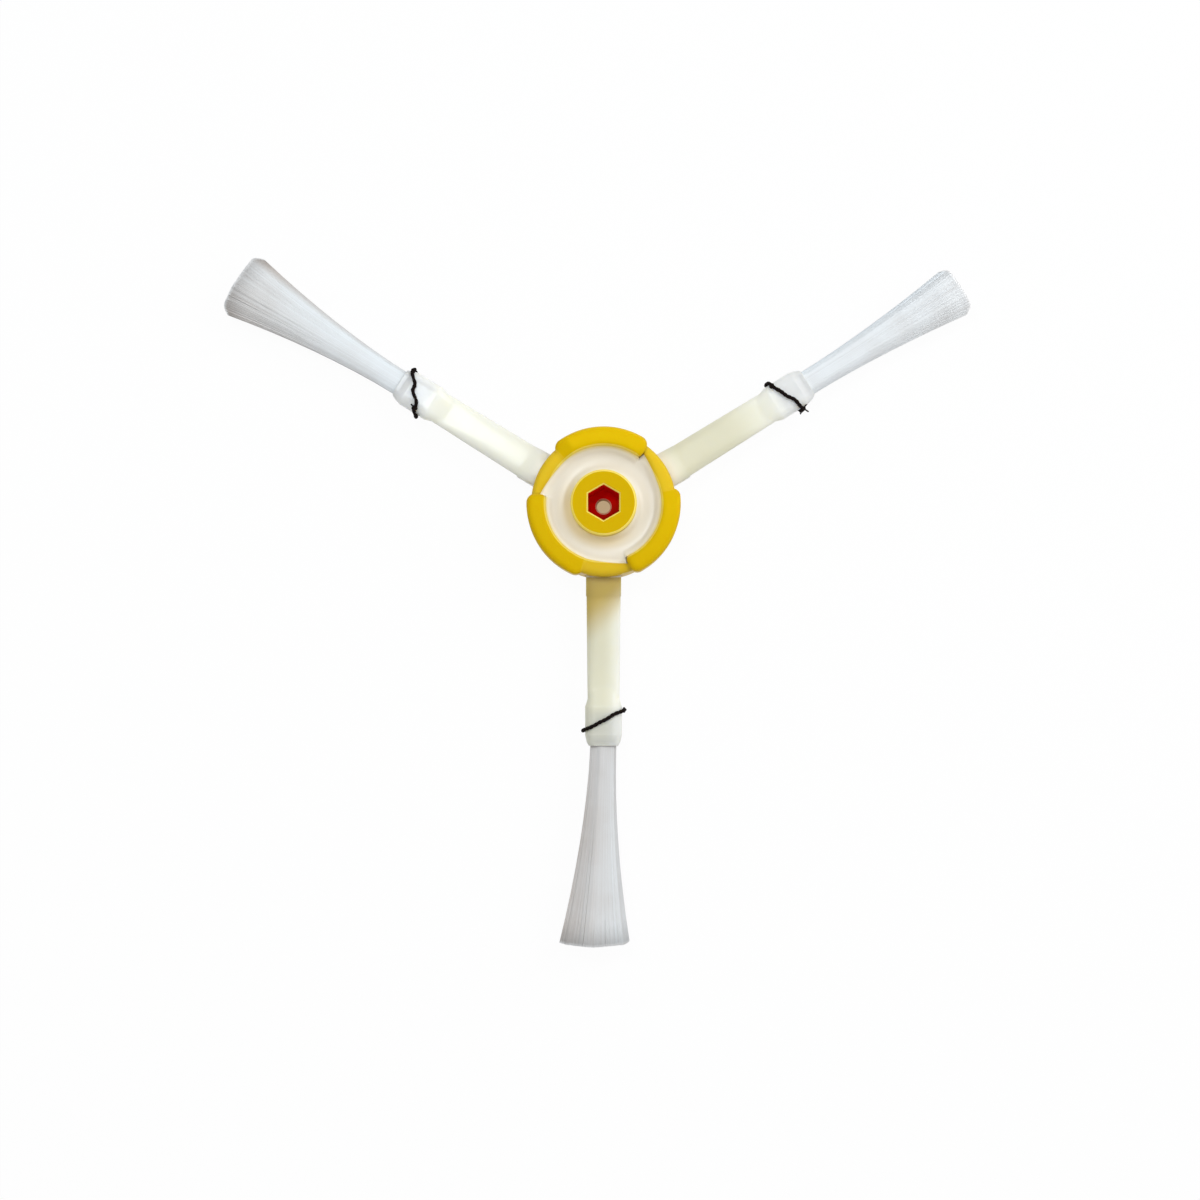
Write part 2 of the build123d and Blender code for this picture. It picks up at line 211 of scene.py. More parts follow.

# Tones of the hub and where they change, with painted light, painted highlights and painted shade among them
YELLOWS = ((0.60, 0.385, 0.001, 1), (0.67, 0.43, 0.002, 1))
# Painted light: a lighter yellow on the side of the hub's walls towards the key lamp
PAINTED_LIGHT_YELLOW = (0.76, 0.50, 0.002, 1)
PAINTED_LIGHT_REACH = 18.0
PAINTED_LIGHT_SHARES = (0.1, 0.9)
SIDEWAYS_SHARE = 0.5
# Painted highlights: pale yellow on the saddles and along the boss's top edge, the socket's lip and the
# lobes' inner edge
HIGHLIGHT_YELLOW = (0.95, 0.76, 0.16, 1)
SADDLE_HEIGHTS = (5.5, 6.4)
SADDLE_HIGHLIGHT = 0.12
WALL_BLEND = 2.0
BOSS_EDGE = 0.45
SOCKET_REACH = 3.95
SOCKET_EDGE = 0.3
INNER_EDGE = 0.4
INNER_EDGE_HIGHLIGHT = 0.7
# Painted shade: the socket's red is darker on its -Y side
SOCKET_SHADED_AND_LIT_REDS = ((0.48, 0.012, 0.003, 1), (0.88, 0.006, 0.003, 1))
SOCKET_PAINTED_SHADE_SPAN = (-3.5, 1.5)
SCREW_HOLE_RIM_TONE = (0.80, 0.45, 0.30, 1)
SCREW_HOLE_RIM = 0.25
SCREW_HOLE_RIM_DEPTH = 0.5
HUB_ROUGHNESS = (0.34, 0.44)
HUB_SHINE = 0.3
HUB_SHINE_TINT = (1.0, 0.8, 0.04, 1)
HUB_SCATTER = 0.3
HUB_SCATTER_COLOURS = (1.0, 0.6, 0.1)
HUB_SCATTER_DEPTH = 1.5
HUB_ROUNDNESS = (0.4, 1.8)
HUB_ROUNDNESS_SPAN = (BOSS_RADIUS + 1.0, CHANNEL_RADIUS - 1.0)
HUB_RELIEF = (0.1, 0.06)
# How far a band of colour reaches past the surface that it ends on, and stays off the flat next to it
BAND_REACH = 0.1
BAND_GAP = 0.01

# Tones of the soft moulding and where they change, by the distance from the axis, X or Y, with painted light
# and painted shade on some arms
ROOT_WHITES = ((0.85, 0.79, 0.69, 1), (0.87, 0.81, 0.71, 1))
ARM_IVORIES = ((0.71, 0.69, 0.53, 1), (0.73, 0.71, 0.55, 1))
IVORY_SPAN = (WALL_RADIUS - 1.0, WALL_RADIUS + 3.5)
LIT_WHITE = (0.94, 0.95, 0.90, 1)
LIT_SPAN = (-0.5, 3.8)
LIT_SHARE = 0.6
# Painted shade: the hub's shadow on the bottom arm's root, yellow from the hub's light
ROOT_SHADE_YELLOW = (0.55, 0.41, 0.10, 1)
ROOT_SHADE_SPAN = (18.5, 28.5)
ROOT_SHADE_SLANT = 0.8
# The arm ends are whiter, and this white also stands for painted light: more of it on the upper arms, and
# over the whole left arm
SLEEVE_AND_LIGHT_WHITE = (0.94, 0.94, 0.87, 1)
SLEEVE_SPAN = (30.0, 48.0)
SLEEVE_LIGHT_SIDE_SPAN = (-45.0, 0.0)
SLEEVE_LIGHT_SIDE_SHARES = (0.15, 1.0)
LEFT_ARM_SIDE = -10.0
LEFT_ARM_SPAN = (WALL_RADIUS - 1.0, WALL_RADIUS + 0.5)
LEFT_ARM_LIGHT_SHARE = 0.65
SOFT_IOR = 1.46
SOFT_ROUGHNESS = (0.28, 0.32)
SOFT_SCATTER = 0.6
SOFT_SCATTER_COLOURS = (1.0, 0.95, 0.8)
SOFT_SCATTER_DEPTH = 3.0
ARM_ROUNDNESS = (4.0, 0.2)
ARM_ROUNDNESS_SPAN = (24.0, 50.0)
SOFT_RELIEF = (0.08, 0.05)

# Tones of the web's skin and where they change, by height, distance from the axis or side, with painted
# light, painted shade and a painted highlight among them
SKIN_WHITES = ((0.735, 0.685, 0.59, 1), (0.765, 0.715, 0.62, 1))
# Painted light: the skin is paler where it starts to climb the walls, against the shade there
SKIN_RIM_PAINTED_LIGHT = (0.93, 0.88, 0.76, 1)
SKIN_RIM_LIGHT_SPAN = (WEB_TOP - 0.35, WEB_TOP + 0.5)
# Painted shade: a warm shade beside the boss, on the side away from the key lamp
SKIN_SHADE = (0.78, 0.62, 0.32, 1)
SKIN_SHADE_SPAN = (7.5, 10.5)
SKIN_SHADE_SIDE_SPAN = (4.0, -8.0)
SKIN_SHADE_SHARE = 0.7
# Pale yellow up the walls: the walls' own yellow, made paler as a painted highlight
SKIN_EDGE_YELLOW_AND_HIGHLIGHT = (0.98, 0.82, 0.30, 1)
SKIN_EDGE_SPAN = (WEB_TOP + 0.3, WEB_TOP + 1.8)
SKIN_ROUGHNESS = 0.3

# Tones of the filaments and the thread
FILAMENT_WHITE = (0.80, 0.83, 0.85, 1)
FILAMENT_GREY = (0.515, 0.455, 0.41, 1)
FILAMENT_TIP = (0.92, 0.92, 0.92, 1)
FILAMENT_TIP_START = 0.985
FILAMENT_CLOUD_SPAN = (0.35, 0.75)
FILAMENT_CLOUD_GREYS = (-0.05, 0.06)
FILAMENT_ROUGHNESS = 0.6
FILAMENT_SHINE = 0.2
THREAD_BLACKS = ((0.002, 0.001, 0.001, 1), (0.010, 0.005, 0.004, 1))
THREAD_ROUGHNESS = 0.9
THREAD_SHINE = 0.1
THREAD_RELIEF = (0.5, 0.08)
THREAD_ROUNDNESS = 0.05


def arm_matrix(index):
    """Frame of one arm at the hub's wall, X along the arm, in millimetres."""
    turn = Matrix.Rotation(radians(ARM_ANGLES[index]), 4, "Z")
    shift = Matrix.Translation((WALL_RADIUS, 0, ARM_MIDDLE))
    settle = Matrix.Rotation(radians(ARM_SETS[index]), 4, "Z")
    droop = Matrix.Rotation(radians(ARM_DROOP), 4, "Y")
    return turn @ shift @ settle @ droop


def to_row_frame(points, index):
    """Points in an arm's frame, in millimetres, as points of the part, in metres."""
    matrix = np.array(arm_matrix(index))
    return (points @ matrix[:3, :3].T + matrix[:3, 3]) * MM


def new_piece(name, points, faces, material, smooth=True):
    """A mesh object with one material."""
    mesh = bpy.data.meshes.new(name)
    mesh.from_pydata(points.tolist(), [], faces)
    mesh.polygons.foreach_set("use_smooth", [smooth] * len(mesh.polygons))
    mesh.materials.append(material)
    mesh.update()
    piece = bpy.data.objects.new(name, mesh)
    bpy.context.scene.collection.objects.link(piece)
    return piece


def float_layer(piece, name, values):
    """A number for each point of a piece, which its material reads."""
    layer = piece.data.attributes.new(name, "FLOAT", "POINT")
    layer.data.foreach_set("value", np.asarray(values, dtype=np.float32))


class MeshParts:
    """Points and faces of several bodies that make one piece, with the numbers of their points."""

    def __init__(self):
        self.points = []
        self.faces = []
        self.layers = []
        self.count = 0

    def add(self, points, faces, layer=None):
        self.faces += [tuple(corner + self.count for corner in face) for face in faces]
        self.points.append(points)
        self.layers.append(layer)
        self.count += len(points)

    def all_points(self):
        return np.vstack(self.points)

    def all_layers(self):
        return np.vstack(self.layers)


class Shader:
    """A material's node tree with short calls for the nodes used here."""

    def __init__(self, name):
        self.material = bpy.data.materials.new(name)
        self.material.use_nodes = True
        self.tree = self.material.node_tree
        self.surface = self.tree.nodes["Principled BSDF"]

    def node(self, kind, **settings):
        made = self.tree.nodes.new(kind)
        for key, value in settings.items():
            setattr(made, key, value)
        return made

    def link(self, source, target):
        self.tree.links.new(source, target)

    def fill(self, socket, value):
        """Give a socket a number, a colour or another node's output."""
        if isinstance(value, bpy.types.NodeSocket):
            self.link(value, socket)
        else:
            socket.default_value = value

    def position(self):
        return self.node("ShaderNodeTexCoord").outputs["Object"]

    def attribute(self, name):
        return self.node("ShaderNodeAttribute", attribute_name=name).outputs["Fac"]

    def math(self, operation, first, second=0.0):
        made = self.node("ShaderNodeMath", operation=operation)
        self.fill(made.inputs[0], first)
        self.fill(made.inputs[1], second)
        return made.outputs[0]

    def between(self, value, low, high):
        """1 where a value lies between two limits, 0 elsewhere."""
        above = self.math("GREATER_THAN", value, low)
        below = self.math("LESS_THAN", value, high)
        return self.math("MULTIPLY", above, below)

    def ramp(self, value, low, high, result_low=0.0, result_high=1.0):
        """A number that goes smoothly from one result to another as a value goes from low to high."""
        made = self.node("ShaderNodeMapRange", interpolation_type="SMOOTHSTEP")
        self.fill(made.inputs["Value"], value)
        made.inputs["From Min"].default_value = low
        made.inputs["From Max"].default_value = high
        made.inputs["To Min"].default_value = result_low
        made.inputs["To Max"].default_value = result_high
        return made.outputs["Result"]

    def noise(self, scale, detail=2.0):
        made = self.node("ShaderNodeTexNoise")
        self.link(self.position(), made.inputs["Vector"])
        made.inputs["Scale"].default_value = scale
        made.inputs["Detail"].default_value = detail
        return made.outputs["Fac"]

    def mix(self, factor, first, second):
        """A colour between two, or past the first one where the factor is below 0."""
        made = self.node("ShaderNodeMix", data_type="RGBA", clamp_factor=False)
        self.fill(made.inputs["Factor"], factor)
        self.fill(made.inputs[6], first)
        self.fill(made.inputs[7], second)
        return made.outputs[2]

    def bump(self, height, strength, distance, edge_radius):
        """Fine relief over edges that look rounded, with its depth and their radius in millimetres."""
        edges = self.node("ShaderNodeBevel", samples=EDGE_SAMPLES)
        self.fill(edges.inputs["Radius"], self.math("MULTIPLY", edge_radius, MM))
        made = self.node("ShaderNodeBump")
        made.inputs["Strength"].default_value = strength
        made.inputs["Distance"].default_value = distance * MM
        self.link(height, made.inputs["Height"])
        self.link(edges.outputs["Normal"], made.inputs["Normal"])
        self.link(made.outputs["Normal"], self.surface.inputs["Normal"])

    def set(self, **values):
        """Set sockets of the surface shader, with _ for a space in their names."""
        for key, value in values.items():
            self.fill(self.surface.inputs[key.replace("_", " ")], value)

    def scatter(self, share, colours, depth):
        """Light that goes a little way into the material, with its depth in millimetres."""
        self.set(Subsurface_Weight=share, Subsurface_Radius=colours, Subsurface_Scale=depth * MM)

    def places(self):
        """X, Y and Z in the part's frame and the distance from the drive axis, in millimetres."""
        split = self.node("ShaderNodeSeparateXYZ")
        self.link(self.position(), split.inputs[0])
        along_x, along_y, height = [self.math("DIVIDE", axis, MM) for axis in split.outputs]
        squares = self.math("ADD", self.math("POWER", along_x, 2.0), self.math("POWER", along_y, 2.0))
        return along_x, along_y, height, self.math("SQRT", squares)


def hub_plastic():
    """Yellow moulded plastic with painted light on the side towards the key lamp and painted highlights on
    its saddles and along its edges, dark red inside the drive socket with painted shade on one side.
    """
    shader = Shader("hub_plastic")
    along_x, along_y, height, radius = shader.places()
    mottle = shader.noise(HUB_MOTTLE, 4.0)
    colour = shader.mix(mottle, *YELLOWS)
    # Painted light: the lobes and saddles turn a lighter yellow on the side towards the key lamp
    wall = shader.ramp(radius, CHANNEL_RADIUS - WALL_BLEND, CHANNEL_RADIUS)
    sideways = shader.math("MULTIPLY", along_x, SIDEWAYS_SHARE)
    towards_key = shader.math("ADD", along_y, sideways)
    painted_light = shader.math("MULTIPLY", wall, shader.ramp(towards_key, -PAINTED_LIGHT_REACH, PAINTED_LIGHT_REACH, *PAINTED_LIGHT_SHARES))
    colour = shader.mix(painted_light, colour, PAINTED_LIGHT_YELLOW)
    # Painted highlights: pale yellow on the saddles, along the boss's top edge and the socket's lip, and at
    # the lobes' inner edge against the web
    saddle_highlight = shader.math("MULTIPLY", wall, shader.between(height, *SADDLE_HEIGHTS))
    colour = shader.mix(shader.math("MULTIPLY", saddle_highlight, SADDLE_HIGHLIGHT), colour, HIGHLIGHT_YELLOW)
    inner_edge = shader.between(radius, CHANNEL_RADIUS - BAND_REACH, CHANNEL_RADIUS + INNER_EDGE)
    boss_side = shader.between(radius, BOSS_RADIUS - BOSS_EDGE, BOSS_RADIUS + BAND_REACH)
    boss_edge = shader.math("MULTIPLY", boss_side, shader.math("GREATER_THAN", height, BOSS_TOP - BOSS_EDGE))
    near_socket = shader.math("LESS_THAN", radius, SOCKET_REACH + SOCKET_EDGE)
    at_lip = shader.between(height, BOSS_TOP - SOCKET_EDGE, BOSS_TOP - BAND_GAP)
    edges = shader.math("MAXIMUM", boss_edge, shader.math("MULTIPLY", near_socket, at_lip))
    edges = shader.math("MAXIMUM", edges, shader.math("MULTIPLY", inner_edge, INNER_EDGE_HIGHLIGHT))
    colour = shader.mix(edges, colour, HIGHLIGHT_YELLOW)
    below_lip = shader.between(height, -SOCKET_EDGE, BOSS_TOP - SOCKET_EDGE)
    in_socket = shader.math("MULTIPLY", shader.math("LESS_THAN", radius, SOCKET_REACH), below_lip)
    # Painted shade: the red in the socket darkens towards -Y and +X
    far_wall = shader.math("SUBTRACT", along_y, sideways)
    shaded_red = shader.mix(shader.ramp(far_wall, *SOCKET_PAINTED_SHADE_SPAN), *SOCKET_SHADED_AND_LIT_REDS)
    colour = shader.mix(in_socket, colour, shaded_red)
    at_hole = shader.math("LESS_THAN", radius, SCREW_HOLE_RADIUS + SCREW_HOLE_RIM)
    rim = shader.math("MULTIPLY", at_hole, shader.between(height, -SCREW_HOLE_RIM_DEPTH, BAND_REACH))
    colour = shader.mix(rim, colour, SCREW_HOLE_RIM_TONE)
    shine = shader.ramp(in_socket, 0.0, 1.0, HUB_SHINE, 0.0)
    shader.set(Base_Color=colour, Roughness=shader.ramp(mottle, *MOTTLE_SPAN, *HUB_ROUGHNESS))
    shader.set(Specular_IOR_Level=shine, Specular_Tint=HUB_SHINE_TINT)
    shader.scatter(HUB_SCATTER, HUB_SCATTER_COLOURS, HUB_SCATTER_DEPTH)
    roundness = shader.ramp(radius, *HUB_ROUNDNESS_SPAN, *HUB_ROUNDNESS)
    shader.bump(shader.noise(HUB_GRAIN, 3.0), *HUB_RELIEF, roundness)
    return shader.material


def soft_white():
    """Soft white moulding: ivory along the arms, with painted shade at one root, painted light along one
    side of that arm and over another arm, and whiter at the ends, partly as painted light.
    """
    shader = Shader("soft_white")
    along_x, along_y, _, radius = shader.places()
    mottle = shader.noise(SOFT_MOTTLE, 3.0)
    root = shader.mix(mottle, *ROOT_WHITES)
    colour = shader.mix(shader.ramp(radius, *IVORY_SPAN), root, shader.mix(mottle, *ARM_IVORIES))
    bottom_arm = shader.math("LESS_THAN", along_y, -WALL_RADIUS)
    lit = shader.math("MULTIPLY", shader.ramp(along_x, *LIT_SPAN, 0.0, LIT_SHARE), bottom_arm)
    colour = shader.mix(lit, colour, LIT_WHITE)
    # Painted shade: the bottom arm's root is yellower and darker near the hub, as the hub's shadow
    slanted = shader.math("ADD", radius, shader.math("MULTIPLY", along_x, ROOT_SHADE_SLANT))
    root_shade = shader.math("MULTIPLY", shader.ramp(slanted, *ROOT_SHADE_SPAN, 1.0, 0.0), bottom_arm)
    colour = shader.mix(root_shade, colour, ROOT_SHADE_YELLOW)
    # Whiter arm ends, partly painted light that grows towards +Y, and painted light over the whole left arm
    sleeve_and_light = shader.math("MULTIPLY", shader.ramp(radius, *SLEEVE_SPAN),
                         shader.ramp(along_y, *SLEEVE_LIGHT_SIDE_SPAN, *SLEEVE_LIGHT_SIDE_SHARES))
    left_arm_light = shader.math("MULTIPLY", shader.ramp(radius, *LEFT_ARM_SPAN, 0.0, LEFT_ARM_LIGHT_SHARE),
                           shader.math("LESS_THAN", along_x, LEFT_ARM_SIDE))
    colour = shader.mix(shader.math("MAXIMUM", sleeve_and_light, left_arm_light), colour, SLEEVE_AND_LIGHT_WHITE)
    roughness = shader.ramp(mottle, *MOTTLE_SPAN, *SOFT_ROUGHNESS)
    shader.set(Base_Color=colour, Roughness=roughness, IOR=SOFT_IOR)
    shader.scatter(SOFT_SCATTER, SOFT_SCATTER_COLOURS, SOFT_SCATTER_DEPTH)
    roundness = shader.ramp(radius, *ARM_ROUNDNESS_SPAN, *ARM_ROUNDNESS)
    shader.bump(shader.noise(SOFT_GRAIN, 3.0), *SOFT_RELIEF, roundness)
    return shader.material


def web_skin_white():
    """The soft white of the web, paler low on its lip as painted light, with a painted warm shade beside the
    boss and a pale yellow painted highlight where it climbs the walls.
    """
    shader = Shader("web_skin_white")
    along_x, along_y, height, radius = shader.places()
    colour = shader.mix(shader.noise(SOFT_MOTTLE, 3.0), *SKIN_WHITES)
    # Painted light: paler where the skin starts to climb the walls
    colour = shader.mix(shader.ramp(height, *SKIN_RIM_LIGHT_SPAN), colour, SKIN_RIM_PAINTED_LIGHT)
    # Painted shade: warmer and darker beside the boss, away from the key lamp
    away_from_key = shader.ramp(shader.math("ADD", along_x, along_y), *SKIN_SHADE_SIDE_SPAN)
    near_boss = shader.ramp(radius, *SKIN_SHADE_SPAN, SKIN_SHADE_SHARE, 0.0)
    colour = shader.mix(shader.math("MULTIPLY", near_boss, away_from_key), colour, SKIN_SHADE)
    # The walls' yellow with a painted highlight where the skin climbs them
    colour = shader.mix(shader.ramp(height, *SKIN_EDGE_SPAN), colour, SKIN_EDGE_YELLOW_AND_HIGHLIGHT)
    shader.set(Base_Color=colour, Roughness=SKIN_ROUGHNESS, IOR=SOFT_IOR)
    return shader.material


def filament():
    """Pale nylon: every filament has its own grey, which also carries painted shade and light, and its cut
    end is whiter.
    """
    shader = Shader("filament")
    grey = shader.attribute("grey")
    along = shader.attribute("along")
    cloud = shader.ramp(shader.noise(FILAMENT_CLOUD), *FILAMENT_CLOUD_SPAN, *FILAMENT_CLOUD_GREYS)
    grey = shader.math("ADD", grey, cloud)
    body = shader.mix(grey, FILAMENT_WHITE, FILAMENT_GREY)
    colour = shader.mix(shader.ramp(along, FILAMENT_TIP_START, 1.0), body, FILAMENT_TIP)
    shader.set(Base_Color=colour, Roughness=FILAMENT_ROUGHNESS, Specular_IOR_Level=FILAMENT_SHINE)
    return shader.material


def black_thread():
    """Black twisted thread with a little fuzz."""
    shader = Shader("black_thread")
    fibre = shader.noise(THREAD_FIBRE, 3.0)
    shader.set(Base_Color=shader.mix(fibre, *THREAD_BLACKS))
    shader.set(Roughness=THREAD_ROUGHNESS, Specular_IOR_Level=THREAD_SHINE)
    shader.bump(fibre, *THREAD_RELIEF, THREAD_ROUNDNESS)
    return shader.material


def channel_plan(angles):
    """Radius of the channel's wall at angles round the hub, and how high the web's skin climbs it."""
    past_arm = (angles - ARM_ANGLES[0] + LOBE_TRAIL_ANGLE) % ARM_STEP - LOBE_TRAIL_ANGLE
    behind_saddle = past_arm < LOBE_LEAD_ANGLE
    corners = np.array((-LOBE_TRAIL_ANGLE, RECESS_MIDDLE_ANGLE, LOBE_LEAD_ANGLE))
    curve = np.polyfit(corners, (0.0, RECESS_MIDDLE_DEPTH, RECESS_DEPTH), 2)
    wall = CHANNEL_RADIUS + np.where(behind_saddle, np.polyval(curve, past_arm), 0.0)
    to_nose = np.abs(past_arm - LOBE_LEAD_ANGLE)
    to_heel = np.minimum(past_arm + LOBE_TRAIL_ANGLE, ARM_STEP - LOBE_TRAIL_ANGLE - past_arm)
    rise = np.where(behind_saddle, LIP_RISE_AT_SADDLES, LIP_RISE_AT_LOBES)
    rise = rise * np.sqrt(np.clip(to_nose / LIP_NOSE_ANGLE, 0, 1))
    heel = np.clip(to_heel / LIP_TAPER_ANGLE, 0, 1)
    return wall, np.where(behind_saddle, rise, LIP_RISE_AT_SADDLES + (rise - LIP_RISE_AT_SADDLES) * heel)


def climb(distance):
    """Share of its height that a lip has at a distance from its wall, hollow as a quarter of a circle."""
    share = np.clip(1 - distance / LIP_WIDTH, 0, 1)
    return 1 - np.sqrt(1 - share ** 2)


def web_skin(material):
    """Top of the soft web from the boss to the channel's wall, with a lip against both."""
    angles = np.arange(SKIN_ANGLES) * 360 / SKIN_ANGLES
    wall, rise = channel_plan(angles)
    ray = np.stack([np.cos(np.radians(angles)), np.sin(np.radians(angles))], axis=1)
    middle = (BOSS_RADIUS + CHANNEL_RADIUS) / 2
    points = []
    faces = []
    for step in range(SKIN_STEPS + 1):
        radius = BOSS_RADIUS + (wall - BOSS_RADIUS) * step / SKIN_STEPS
        off_middle = np.minimum((radius - middle) / (CHANNEL_RADIUS - middle), 1)
        height = WEB_TOP + SKIN_LIFT - WEB_DISH * (1 - off_middle ** 2)
        height += rise * climb(wall - radius) + LIP_RISE_AT_BOSS * climb(radius - BOSS_RADIUS)
        reach = radius + SKIN_OVERLAP * (2 * step / SKIN_STEPS - 1)
        points.append(np.column_stack([reach[:, None] * ray, height]))
    for step in range(SKIN_STEPS):
        faces += band(step * SKIN_ANGLES, (step + 1) * SKIN_ANGLES, SKIN_ANGLES)
    piece = new_piece("web_skin", np.vstack(points) * MM, faces, material)
    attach(piece, "root")


def flare(station, index):
    """How many times its root's size a tuft has at a share of its free length."""
    return 1 + (TUFT_TIP_WIDTHS[index] / TUFT_ROOT_WIDTH - 1) * station ** TUFT_FLARE_POWER


def soften(places, roundness):
    """Places in a hexagon with corners at a radius of 1, moved towards a circle of about its size."""
    off_corner = (np.arctan2(places[:, 0], places[:, 1]) + radians(30)) % radians(60) - radians(30)
    edge = cos(radians(30)) / np.cos(radians(30) - np.abs(off_corner))
    round_edge = cos(radians(15))
    return places * (1 + roundness * (round_edge / edge - 1))[:, None]


def bundle_section(places, index):
    """Places in a hexagon with corners at a radius of 1, rolled and stretched to the root's half sizes."""
    roll = radians(TUFT_ROLLS[index])
    places = soften(places, TUFT_ROUNDNESS[index])
    across = places[:, 0] * cos(roll) - places[:, 1] * sin(roll)
    up = places[:, 0] * sin(roll) + places[:, 1] * cos(roll)
    half_width = (TUFT_ROOT_WIDTH / 2 - TUFT_ROOT_CLEARANCE) / cos(radians(30) - abs(roll))
    half_height = (TUFT_ROOT_THICKNESS / 2 - TUFT_ROOT_CLEARANCE) / cos(roll)
    return np.stack([across * half_width, up * half_height], axis=1)


def fan_out(section, lengths, fill, index):
    """Lines along a tuft from places across its root: line, station, coordinate, in the arm's frame."""
    stations = np.linspace(0.0, 1.0, FILAMENT_STATIONS)
    spread = flare(stations, index) * fill
    distance = lengths[:, None] * stations
    lines = np.zeros((len(section), FILAMENT_STATIONS, 3))
    lines[:, :, 0] = ARM_TIP + distance
    lines[:, :, 1] = section[:, 0, None] * spread + distance * tan(radians(TUFT_LEANS[index]))
    lines[:, :, 2] = section[:, 1, None] * spread
    return lines


def tip_cut(section, index):
    """How much shorter than the longest the lines of a tuft are cut, towards its sides and its top."""
    edge = np.abs(section[:, 0]) / (TUFT_ROOT_WIDTH / 2)
    past = np.clip(edge - TIP_ROUNDING_START, 0, 1) / (1 - TIP_ROUNDING_START)
    slant = TIP_SLANTS[index] * (1 + section[:, 1] / (TUFT_ROOT_THICKNESS / 2))
    return TIP_ROUNDING[index] * past ** TIP_ROUNDING_POWER + TIP_RIDGE[index] * edge + slant


def hexagon_outline(per_side):
    """Points round a hexagon with corners at a radius of 1, one corner upwards."""
    outline = []
    for corner in range(6):
        start = np.array((cos(radians(90 + 60 * corner)), sin(radians(90 + 60 * corner))))
        end = np.array((cos(radians(150 + 60 * corner)), sin(radians(150 + 60 * corner))))
        outline += [start + (end - start) * step / per_side for step in range(per_side)]
    return np.array(outline)


def filament_lines(index, chance):
    """Middle lines of a tuft's filaments: hexagonal rings inside and a close row round the outside."""
    places = []
    for column in range(-FILAMENT_RINGS, FILAMENT_RINGS + 1):
        for row in range(-FILAMENT_RINGS, FILAMENT_RINGS + 1):
            if abs(column + row) < FILAMENT_RINGS:
                places.append((column * cos(radians(30)), row + column / 2))
    places = np.vstack([np.array(places) / FILAMENT_RINGS, hexagon_outline(FILAMENTS_PER_SIDE)])
    places += chance.normal(0, FILAMENT_JITTER, places.shape)
    section = bundle_section(places, index)
    lengths = TUFT_LENGTHS[index] - tip_cut(section, index)
    lengths -= np.abs(chance.normal(0, FILAMENT_LENGTH_SPREAD, len(lengths)))
    lines = fan_out(section, lengths, BUNDLE_FILL, index)
    wander = chance.normal(0, FILAMENT_WANDER, (len(lines), 2))
    bend = np.linspace(0.0, 1.0, FILAMENT_STATIONS) ** 2
    lines[:, :, 1:] += wander[:, None, :] * bend[None, :, None]
    lines[:, 0, 0] -= FILAMENT_SINK
    return section, lines


def band(near, far, sides):
    """Faces between two closed rings of points."""
    return [(near + side, near + (side + 1) % sides, far + (side + 1) % sides, far + side)
            for side in range(sides)]


def filament_tubes(lines, index):
    """Points and faces of thin tubes along lines that run mostly along X, closed at the far end."""
    turn = np.arange(FILAMENT_SIDES) * 2 * pi / FILAMENT_SIDES
    ring = np.stack([np.zeros(FILAMENT_SIDES), np.cos(turn), np.sin(turn)], axis=1)
    thickness = FILAMENT_RADIUS * flare(np.linspace(0.0, 1.0, FILAMENT_STATIONS), index)
    points = (lines[:, :, None, :] + ring * thickness[:, None, None]).reshape(-1, 3)
    faces = []
    for tube in range(len(lines)):
        for station in range(FILAMENT_STATIONS - 1):
            near = (tube * FILAMENT_STATIONS + station) * FILAMENT_SIDES
            faces += band(near, near + FILAMENT_SIDES, FILAMENT_SIDES)
        last = ((tube + 1) * FILAMENT_STATIONS - 1) * FILAMENT_SIDES
        faces.append(tuple(range(last, last + FILAMENT_SIDES)))
    return points, faces


def bundle_core(index):
    """Places, points and faces of the core of a bundle, a little inside its outermost filaments."""
    section = bundle_section(hexagon_outline(CORE_STREAKS), index)
    lengths = TUFT_LENGTHS[index] - CORE_SETBACK - tip_cut(section, index)
    lines = fan_out(section, lengths, CORE_FILL, index)
    sides = len(section)
    points = lines.transpose(1, 0, 2).reshape(-1, 3)
    faces = []
    for station in range(FILAMENT_STATIONS - 1):
        faces += band(station * sides, (station + 1) * sides, sides)
    last = (FILAMENT_STATIONS - 1) * sides
    faces.append(tuple(range(last, last + sides)))
    return section, points, faces


def root_plug():
    """The fused root of a tuft in its pocket, as a block with cut corners along X."""
    half_width = TUFT_ROOT_WIDTH / 2 - TUFT_ROOT_CLEARANCE
    half_height = TUFT_ROOT_THICKNESS / 2 - TUFT_ROOT_CLEARANCE
    outline = []
    for side_y, side_z, flat_first in ((1, 1, True), (-1, 1, False), (-1, -1, True), (1, -1, False)):
        flat = (side_y * half_width, side_z * (half_height - TUFT_ROOT_CORNER))
        tall = (side_y * (half_width - TUFT_ROOT_CORNER), side_z * half_height)
        outline += [flat, tall] if flat_first else [tall, flat]
    points = [(ARM_TIP + shift, y, z) for shift in (-POCKET_DEPTH, 0.0) for y, z in outline]
    sides = len(outline)
    ends = [tuple(reversed(range(sides))), tuple(range(sides, 2 * sides))]
    return np.array(points), ends + band(0, sides, sides)


